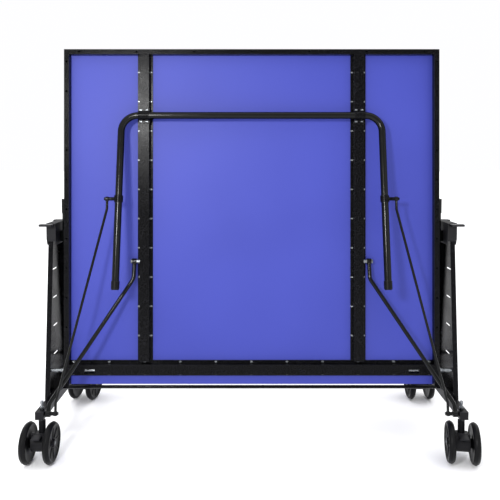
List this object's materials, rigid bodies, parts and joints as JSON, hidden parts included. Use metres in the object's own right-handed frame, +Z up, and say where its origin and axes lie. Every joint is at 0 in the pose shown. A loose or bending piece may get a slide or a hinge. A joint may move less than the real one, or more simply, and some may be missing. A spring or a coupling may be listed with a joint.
{
  "type": "ping pong table",
  "caption": "Roll-away ping pong table folded for storage: hinged halves under slotted uprights on swivel casters, with folding legs, rods, net and release levers.",
  "frame": {"origin": "on the floor, under the middle of the rolling frame", "axes": "+X across the table along the net, +Y towards the rear half, +Z up"},
  "size_m": [1.732, 0.7662, 1.595],
  "materials": {
    "board_blue": "satin",
    "frame_black": "textured",
    "cap_plastic": "matte",
    "lever_plastic": "matte",
    "zinc_hardware": "bright",
    "wheel_rubber": "matte",
    "moulded_black": "matte",
    "foot_rubber": "matte",
    "net_cloth": "matte",
    "tape_cloth": "matte"
  },
  "bodies": {
    "undercarriage": {"base_rail_left": "frame_black", "base_rail_right": "frame_black", "caster_stems": "zinc_hardware", "frame_bolts": "zinc_hardware", "lever_lugs": "moulded_black", "net_mesh": "net_cloth", "net_post_left": "frame_black", "net_post_right": "frame_black", "net_tape": "tape_cloth", "rail_fittings": "frame_black", "rail_plugs": "moulded_black", "tie_bars": "frame_black", "upright_cap_left": "cap_plastic", "upright_cap_right": "cap_plastic", "upright_left": "frame_black", "upright_right": "frame_black"},
    "half_front": {"table_top_front": "board_blue", "edge_rails_front": "frame_black", "leg_beams_front": "frame_black", "cross_beam_front": "frame_black", "leg_clamps_front": "frame_black", "panel_screws_front": "zinc_hardware", "strut_brackets_front": "frame_black"},
    "carriage_front": {"guide_axle_front": "zinc_hardware"},
    "rollers_front": {"guide_rollers_front": "moulded_black"},
    "leg_front": {"u_leg_front": "frame_black", "leg_feet_front": "foot_rubber", "rod_brackets_front": "frame_black"},
    "struts_front": {"struts_front": "frame_black"},
    "rods_front": {"leg_rods_front": "frame_black"},
    "half_rear": {"table_top_rear": "board_blue", "edge_rails_rear": "frame_black", "leg_beams_rear": "frame_black", "cross_beam_rear": "frame_black", "leg_clamps_rear": "frame_black", "panel_screws_rear": "zinc_hardware", "strut_brackets_rear": "frame_black"},
    "carriage_rear": {"guide_axle_rear": "zinc_hardware"},
    "rollers_rear": {"guide_rollers_rear": "moulded_black"},
    "leg_rear": {"u_leg_rear": "frame_black", "leg_feet_rear": "foot_rubber", "rod_brackets_rear": "frame_black"},
    "struts_rear": {"struts_rear": "frame_black"},
    "rods_rear": {"leg_rods_rear": "frame_black"},
    "release_lever_front_left": {"release_lever_front_left": "lever_plastic"},
    "release_lever_front_right": {"release_lever_front_right": "lever_plastic"},
    "release_lever_rear_left": {"release_lever_rear_left": "lever_plastic"},
    "release_lever_rear_right": {"release_lever_rear_right": "lever_plastic"},
    "caster_front_right": {"caster_body_front_right": "moulded_black"},
    "wheels_front_right": {"caster_wheels_front_right": "wheel_rubber"},
    "pedal_front_right": {"brake_pedal_front_right": "moulded_black"},
    "caster_front_left": {"caster_body_front_left": "moulded_black"},
    "wheels_front_left": {"caster_wheels_front_left": "wheel_rubber"},
    "pedal_front_left": {"brake_pedal_front_left": "moulded_black"},
    "caster_rear_left": {"caster_body_rear_left": "moulded_black"},
    "wheels_rear_left": {"caster_wheels_rear_left": "wheel_rubber"},
    "pedal_rear_left": {"brake_pedal_rear_left": "moulded_black"},
    "caster_rear_right": {"caster_body_rear_right": "moulded_black"},
    "wheels_rear_right": {"caster_wheels_rear_right": "wheel_rubber"},
    "pedal_rear_right": {"brake_pedal_rear_right": "moulded_black"}
  },
  "joints": [
    {"name": "raise_front", "type": "slide", "parent": "undercarriage", "child": "carriage_front", "axis": [0, 0.1098, 0.994], "range_m": [0, 0.4406]},
    {"name": "fold_front", "type": "hinge", "parent": "carriage_front", "child": "half_front", "pos_m": [0, -0.11133, 0.28655], "axis": [1, 0, 0], "range_deg": [0, 92.5]},
    {"name": "leg_front", "type": "hinge", "parent": "half_front", "child": "leg_front", "pos_m": [0, -0.09702, 1.32492], "axis": [1, 0, 0], "range_deg": [-77.36, 0]},
    {"name": "struts_front", "type": "hinge", "parent": "half_front", "child": "struts_front", "pos_m": [0, -0.09787, 0.73239], "axis": [1, 0, 0], "range_deg": [-51.06, 0]},
    {"name": "rods_front", "type": "hinge", "parent": "leg_front", "child": "rods_front", "pos_m": [0, -0.17061, 0.99299], "axis": [1, 0, 0], "range_deg": [0, 70.77]},
    {"name": "roller_spin_front", "type": "hinge", "parent": "carriage_front", "child": "rollers_front", "pos_m": [0, -0.11133, 0.28655], "axis": [1, 0, 0], "continuous": true},
    {"name": "raise_rear", "type": "slide", "parent": "undercarriage", "child": "carriage_rear", "axis": [0, -0.1098, 0.994], "range_m": [0, 0.4406]},
    {"name": "fold_rear", "type": "hinge", "parent": "carriage_rear", "child": "half_rear", "pos_m": [0, 0.11133, 0.28655], "axis": [-1, 0, 0], "range_deg": [0, 92.5]},
    {"name": "leg_rear", "type": "hinge", "parent": "half_rear", "child": "leg_rear", "pos_m": [0, 0.09702, 1.32492], "axis": [-1, 0, 0], "range_deg": [-77.36, 0]},
    {"name": "struts_rear", "type": "hinge", "parent": "half_rear", "child": "struts_rear", "pos_m": [0, 0.09787, 0.73239], "axis": [-1, 0, 0], "range_deg": [-51.06, 0]},
    {"name": "rods_rear", "type": "hinge", "parent": "leg_rear", "child": "rods_rear", "pos_m": [0, 0.17061, 0.99299], "axis": [-1, 0, 0], "range_deg": [0, 70.77]},
    {"name": "roller_spin_rear", "type": "hinge", "parent": "carriage_rear", "child": "rollers_rear", "pos_m": [0, 0.11133, 0.28655], "axis": [-1, 0, 0], "continuous": true},
    {"name": "release_lever_front_left", "type": "hinge", "parent": "undercarriage", "child": "release_lever_front_left", "pos_m": [-0.838, -0.08174, 0.879], "axis": [-1, 0, 0], "range_deg": [0, 20], "stiffness_Nm_per_rad": 0.4, "springref_deg": -17.19},
    {"name": "release_lever_front_right", "type": "hinge", "parent": "undercarriage", "child": "release_lever_front_right", "pos_m": [0.838, -0.08174, 0.879], "axis": [-1, 0, 0], "range_deg": [0, 20], "stiffness_Nm_per_rad": 0.4, "springref_deg": -17.19},
    {"name": "release_lever_rear_left", "type": "hinge", "parent": "undercarriage", "child": "release_lever_rear_left", "pos_m": [-0.838, 0.08174, 0.879], "axis": [1, 0, 0], "range_deg": [0, 20], "stiffness_Nm_per_rad": 0.4, "springref_deg": -17.19},
    {"name": "release_lever_rear_right", "type": "hinge", "parent": "undercarriage", "child": "release_lever_rear_right", "pos_m": [0.838, 0.08174, 0.879], "axis": [1, 0, 0], "range_deg": [0, 20], "stiffness_Nm_per_rad": 0.4, "springref_deg": -17.19},
    {"name": "swivel_front_right", "type": "hinge", "parent": "undercarriage", "child": "caster_front_right", "pos_m": [0.802, -0.27202, 0.132], "axis": [0, 0, 1], "continuous": true},
    {"name": "wheel_spin_front_right", "type": "hinge", "parent": "caster_front_right", "child": "wheels_front_right", "pos_m": [0.79714, -0.2996, 0.077], "axis": [0.9848, -0.1736, 0], "continuous": true},
    {"name": "brake_front_right", "type": "hinge", "parent": "caster_front_right", "child": "pedal_front_right", "pos_m": [0.79488, -0.3124, 0.113], "axis": [0.9848, -0.1736, 0], "range_deg": [-18, 0]},
    {"name": "swivel_front_left", "type": "hinge", "parent": "undercarriage", "child": "caster_front_left", "pos_m": [-0.802, -0.27202, 0.132], "axis": [0, 0, 1], "continuous": true},
    {"name": "wheel_spin_front_left", "type": "hinge", "parent": "caster_front_left", "child": "wheels_front_left", "pos_m": [-0.802, -0.30002, 0.077], "axis": [1, 0, 0], "continuous": true},
    {"name": "brake_front_left", "type": "hinge", "parent": "caster_front_left", "child": "pedal_front_left", "pos_m": [-0.802, -0.31302, 0.113], "axis": [1, 0, 0], "range_deg": [-18, 0]},
    {"name": "swivel_rear_left", "type": "hinge", "parent": "undercarriage", "child": "caster_rear_left", "pos_m": [-0.802, 0.27202, 0.132], "axis": [0, 0, 1], "continuous": true},
    {"name": "wheel_spin_rear_left", "type": "hinge", "parent": "caster_rear_left", "child": "wheels_rear_left", "pos_m": [-0.79714, 0.2996, 0.077], "axis": [-0.9848, 0.1736, 0], "continuous": true},
    {"name": "brake_rear_left", "type": "hinge", "parent": "caster_rear_left", "child": "pedal_rear_left", "pos_m": [-0.79488, 0.3124, 0.113], "axis": [-0.9848, 0.1736, 0], "range_deg": [-18, 0]},
    {"name": "swivel_rear_right", "type": "hinge", "parent": "undercarriage", "child": "caster_rear_right", "pos_m": [0.802, 0.27202, 0.132], "axis": [0, 0, 1], "continuous": true},
    {"name": "wheel_spin_rear_right", "type": "hinge", "parent": "caster_rear_right", "child": "wheels_rear_right", "pos_m": [0.802, 0.30002, 0.077], "axis": [-1, 0, 0], "continuous": true},
    {"name": "brake_rear_right", "type": "hinge", "parent": "caster_rear_right", "child": "pedal_rear_right", "pos_m": [0.802, 0.31302, 0.113], "axis": [-1, 0, 0], "range_deg": [-18, 0]}
  ],
  "couplings": [
    {"joint": "raise_front", "follows": "fold_front", "m_per_rad": 0.27261},
    {"joint": "leg_front", "follows": "fold_front", "ratio": -0.83611},
    {"joint": "struts_front", "follows": "fold_front", "ratio": -0.55181},
    {"joint": "rods_front", "follows": "fold_front", "ratio": 0.76486},
    {"joint": "raise_rear", "follows": "fold_rear", "m_per_rad": 0.27261},
    {"joint": "leg_rear", "follows": "fold_rear", "ratio": -0.83611},
    {"joint": "struts_rear", "follows": "fold_rear", "ratio": -0.55181},
    {"joint": "rods_rear", "follows": "fold_rear", "ratio": 0.76486}
  ]
}
